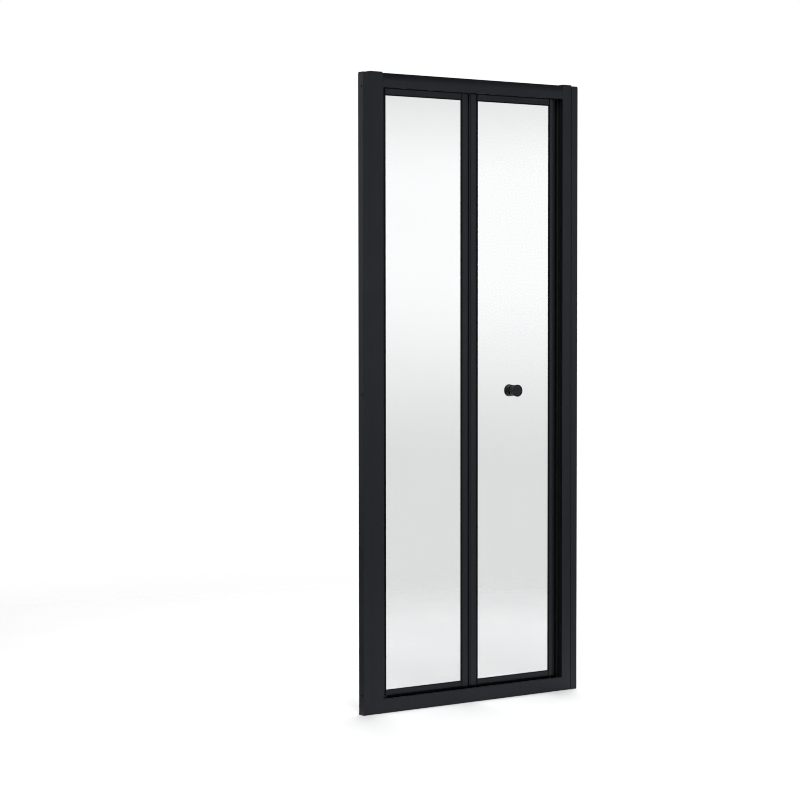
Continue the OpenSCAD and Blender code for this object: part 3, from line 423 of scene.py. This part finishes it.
def studio_world():
    """Plain white backdrop, and soft light that depends only on direction: a dim room, a wide pale
    wall in front, and two long soft boxes near the horizon."""
    w = bpy.data.worlds.new("studio")
    bpy.context.scene.world = w
    w.use_nodes = True
    nt = w.node_tree
    for n in list(nt.nodes):
        nt.nodes.remove(n)

    def node(kind, **kw):
        n = nt.nodes.new(kind)
        for k, v in kw.items():
            setattr(n, k, v)
        return n

    def link(a, b):
        nt.links.new(a, b)

    def span(src, lo, hi, a, b):
        n = node("ShaderNodeMapRange")
        n.interpolation_type = "SMOOTHSTEP"
        for k, v in (("From Min", lo), ("From Max", hi), ("To Min", a), ("To Max", b)):
            n.inputs[k].default_value = v
        link(src, n.inputs["Value"])
        return n.outputs[0]

    def calc(op, a, b):
        n = node("ShaderNodeMath", operation=op)
        for i, v in enumerate((a, b)):
            if isinstance(v, (int, float)):
                n.inputs[i].default_value = v
            else:
                link(v, n.inputs[i])
        return n.outputs[0]

    tc = node("ShaderNodeTexCoord")
    sep = node("ShaderNodeSeparateXYZ")
    link(tc.outputs["Generated"], sep.inputs[0])
    z = sep.outputs["Z"]

    def toward(azimuth, inner, outer):
        """1 within inner degrees of that heading, 0 beyond outer; heading 0 is +Y, 90 is +X."""
        dot = node("ShaderNodeVectorMath", operation="DOT_PRODUCT")
        a = math.radians(azimuth)
        dot.inputs[1].default_value = (math.sin(a), math.cos(a), 0.0)
        link(tc.outputs["Generated"], dot.inputs[0])
        return span(dot.outputs["Value"], math.cos(math.radians(outer)), math.cos(math.radians(inner)), 0.0, 1.0)

    total = None
    for (azimuth, inner, outer, rise0, rise1, fall0, fall1, strength) in LIGHTS:
        part = calc("MULTIPLY", span(z, rise0, rise1, 0.0, 1.0), span(z, fall0, fall1, 1.0, 0.0))
        if azimuth is not None:
            part = calc("MULTIPLY", part, toward(azimuth, inner, outer))
        part = calc("MULTIPLY", part, strength)
        total = part if total is None else calc("ADD", total, part)
    total = calc("ADD", total, AMBIENT)
    path = node("ShaderNodeLightPath")
    level = calc("MULTIPLY", span(z, -0.27, -0.17, 0.0, 1.0), span(z, 0.64, 0.88, 1.0, 0.0))
    hidden = None
    for (azimuth, inner, outer) in SCREENS:
        part = calc("MULTIPLY", toward(azimuth, inner, outer), level)
        hidden = part if hidden is None else calc("ADD", hidden, part)
    room = calc("SUBTRACT", 1.0, hidden)
    tall = span(z, -0.9, 0.9, 0.75, 1.25)
    room = calc("MULTIPLY", calc("MULTIPLY", room, tall), calc("MULTIPLY", path.outputs["Is Glossy Ray"], ROOM))
    total = calc("ADD", total, room)
    lit = node("ShaderNodeBackground")
    lit.inputs["Color"].default_value = (0.985, 0.99, 1.0, 1.0)
    link(total, lit.inputs["Strength"])
    plain = node("ShaderNodeBackground")
    plain.inputs["Color"].default_value = (1.0, 1.0, 1.0, 1.0)
    plain.inputs["Strength"].default_value = 1.0
    seen = node("ShaderNodeMath", operation="MAXIMUM")
    link(path.outputs["Is Camera Ray"], seen.inputs[0])
    link(path.outputs["Is Transmission Ray"], seen.inputs[1])
    mix = node("ShaderNodeMixShader")
    link(seen.outputs[0], mix.inputs[0])
    link(lit.outputs[0], mix.inputs[1])
    link(plain.outputs[0], mix.inputs[2])
    out = node("ShaderNodeOutputWorld")
    link(mix.outputs[0], out.inputs["Surface"])


def overhead(name, place, size, power, aim=(0.0, 0.0, 0.6)):
    """Large soft lamp that lights the floor and shows in no reflection."""
    lamp = bpy.data.lights.new(name, "AREA")
    lamp.shape, lamp.size, lamp.energy = "DISK", size, power
    o = bpy.data.objects.new(name, lamp)
    bpy.context.scene.collection.objects.link(o)
    o.location = place
    o.rotation_mode = "QUATERNION"
    o.rotation_quaternion = (Vector(aim) - Vector(place)).to_track_quat("-Z", "Y")
    o.visible_camera = o.visible_glossy = o.visible_transmission = False
    return o


# heading, full within, none beyond (degrees; None is all round); z rises from, to, falls from, to; strength
AMBIENT = 0.02
LIGHTS = [
    (160.0, 20.0, 46.0, -0.072, 0.016, 0.050, 0.108, 4.4),    # long box in front
    (-36.0, 20.0, 50.0, -0.030, 0.020, 0.056, 0.110, 1.6),    # long box on the left, and its glow above
    (-36.0, 20.0, 50.0, 0.056, 0.110, 0.140, 0.220, 1.45),
    (38.0, 20.0, 60.0, -0.062, 0.004, 0.052, 0.130, 1.0),     # long box behind
]
# floor colours painted into reflections only: painted shade on the left and behind, painted light in front and at the
# door's foot
FLOOR_LEFT, FLOOR_BACK, FLOOR_FRONT, FLOOR_FOOT = 0.15, 0.50, 0.58, 0.95
# the rest of the room in reflections: how bright, and the headings where the boxes stand in front of it
ROOM = 1.05
SCREENS = [(144.0, 40.0, 64.0), (-36.0, 22.0, 36.0), (38.0, 22.0, 36.0)]


def camera():
    cam = bpy.data.objects.new("camera", bpy.data.cameras.new("camera"))
    bpy.context.scene.collection.objects.link(cam)
    cam.location = (-4.224531, -5.425836, 1.177726)
    yaw, pitch = math.radians(36.198), math.radians(2.344)
    d = Vector((math.sin(yaw) * math.cos(pitch), math.cos(yaw) * math.cos(pitch), -math.sin(pitch)))
    cam.rotation_mode = "QUATERNION"
    cam.rotation_quaternion = d.to_track_quat("-Z", "Y") @ Quaternion((0, 0, 1), -0.001)
    cam.data.sensor_width = 36.0
    cam.data.lens = 104.514
    cam.data.clip_start, cam.data.clip_end = 0.1, 100.0
    bpy.context.scene.camera = cam
    return cam


stage_floor()
studio_world()
overhead("lamp_main", (-1.6, -2.2, 4.2), 3.2, 234.0)
overhead("lamp_fill", (1.8, 1.6, 4.0), 3.4, 200.0)
camera()
sc = bpy.context.scene
sc.view_settings.view_transform = "Standard"
sc.view_settings.look = "None"
sc.cycles.filter_width = 1.0
sc.cycles.use_denoising = True
sc.cycles.max_bounces = 12
sc.cycles.transmission_bounces = 10
sc.cycles.transparent_max_bounces = 12
sc.cycles.caustics_reflective = False
sc.cycles.caustics_refractive = False

bpy.context.view_layer.update()
